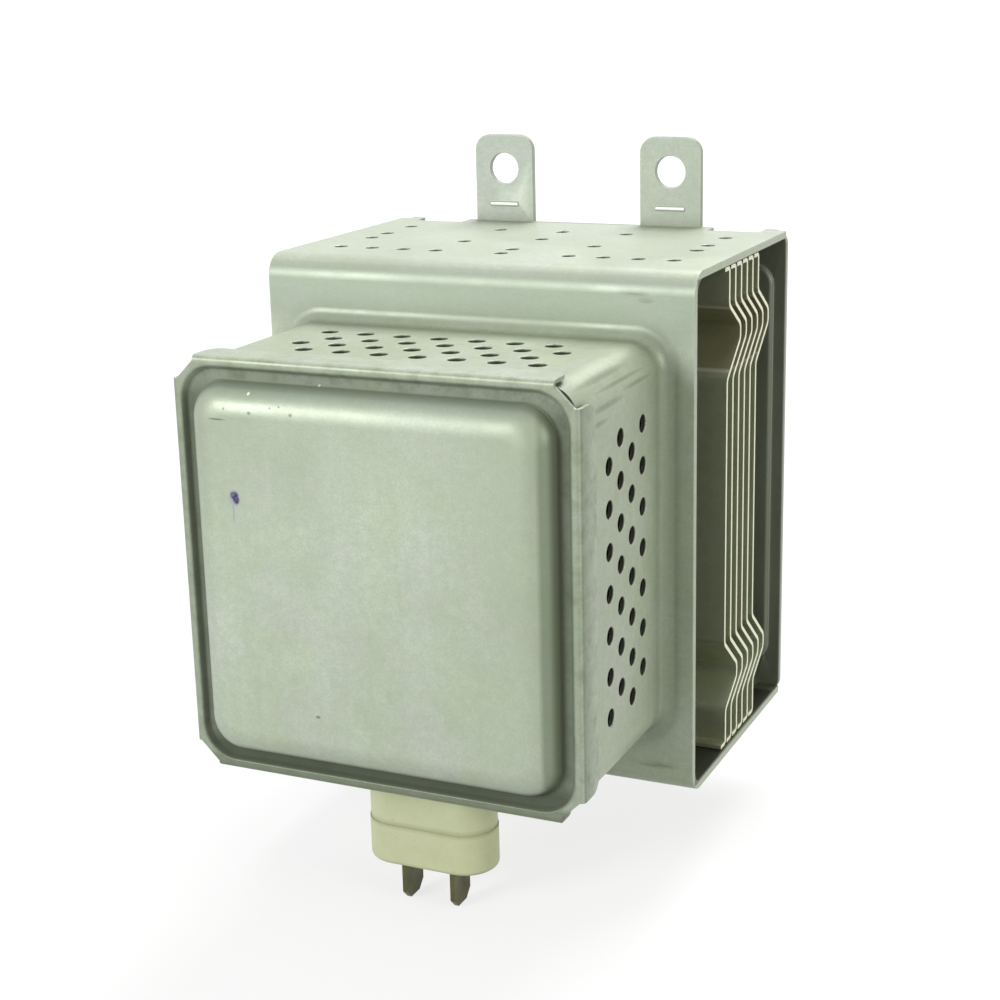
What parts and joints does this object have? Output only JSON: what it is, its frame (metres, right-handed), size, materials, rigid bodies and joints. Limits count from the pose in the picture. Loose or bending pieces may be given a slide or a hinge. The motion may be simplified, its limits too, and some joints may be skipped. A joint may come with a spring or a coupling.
{
  "type": "magnetron",
  "caption": "Microwave oven magnetron: drawn steel yoke and filter box, grooved lid, wavy cooling fins, ring magnets, vaned anode, antenna with gasket, feedthrough terminals.",
  "frame": {"origin": "on the antenna axis in the mounting face, in the middle of the four ear holes", "axes": "+Y along the antenna, out of the mounting face; +Z to the upper pair of ears; the filter box faces -Y and its terminals point along -Z"},
  "size_m": [0.08, 0.1227, 0.1253],
  "materials": {
    "galvanised_sheet": "satin galvanised",
    "plated_steel": "satin plated",
    "fin_aluminium": "bright rolled",
    "copper": "satin",
    "ferrite": "matt pressed ferrite",
    "bare_metal": "matt",
    "ceramic": "fired alumina",
    "resin": "moulded, slightly worn",
    "enamelled_wire": "gloss enamel"
  },
  "bodies": {
    "root": {"yoke_case": "galvanised_sheet", "input_yoke_plate": "galvanised_sheet", "filter_cover": "galvanised_sheet", "mounting_plate": "plated_steel", "capacitor_earth_plate": "plated_steel", "capacitor_rivets": "plated_steel", "input_seal_sleeve": "plated_steel", "output_seal_sleeve": "plated_steel", "stem_terminals": "plated_steel", "antenna_cap": "plated_steel", "rf_gasket": "plated_steel", "feedthrough_left": "plated_steel", "feedthrough_right": "plated_steel", "cooling_fin_1": "fin_aluminium", "cooling_fin_2": "fin_aluminium", "cooling_fin_3": "fin_aluminium", "cooling_fin_4": "fin_aluminium", "cooling_fin_5": "fin_aluminium", "cooling_fin_6": "fin_aluminium", "anode_cylinder": "copper", "anode_vanes": "copper", "strap_rings": "copper", "antenna_lead": "copper", "exhaust_tube": "copper", "input_magnet": "ferrite", "output_magnet": "ferrite", "choke_core_left": "ferrite", "choke_core_right": "ferrite", "input_pole_piece": "bare_metal", "output_pole_piece": "bare_metal", "filament": "bare_metal", "input_end_hat": "bare_metal", "output_end_hat": "bare_metal", "centre_lead": "bare_metal", "side_lead": "bare_metal", "stem_ceramic": "ceramic", "antenna_ceramic": "ceramic", "capacitor_outer_case": "resin", "capacitor_inner_case": "resin", "choke_coil_left": "enamelled_wire", "choke_coil_right": "enamelled_wire"}
  },
  "joints": []
}
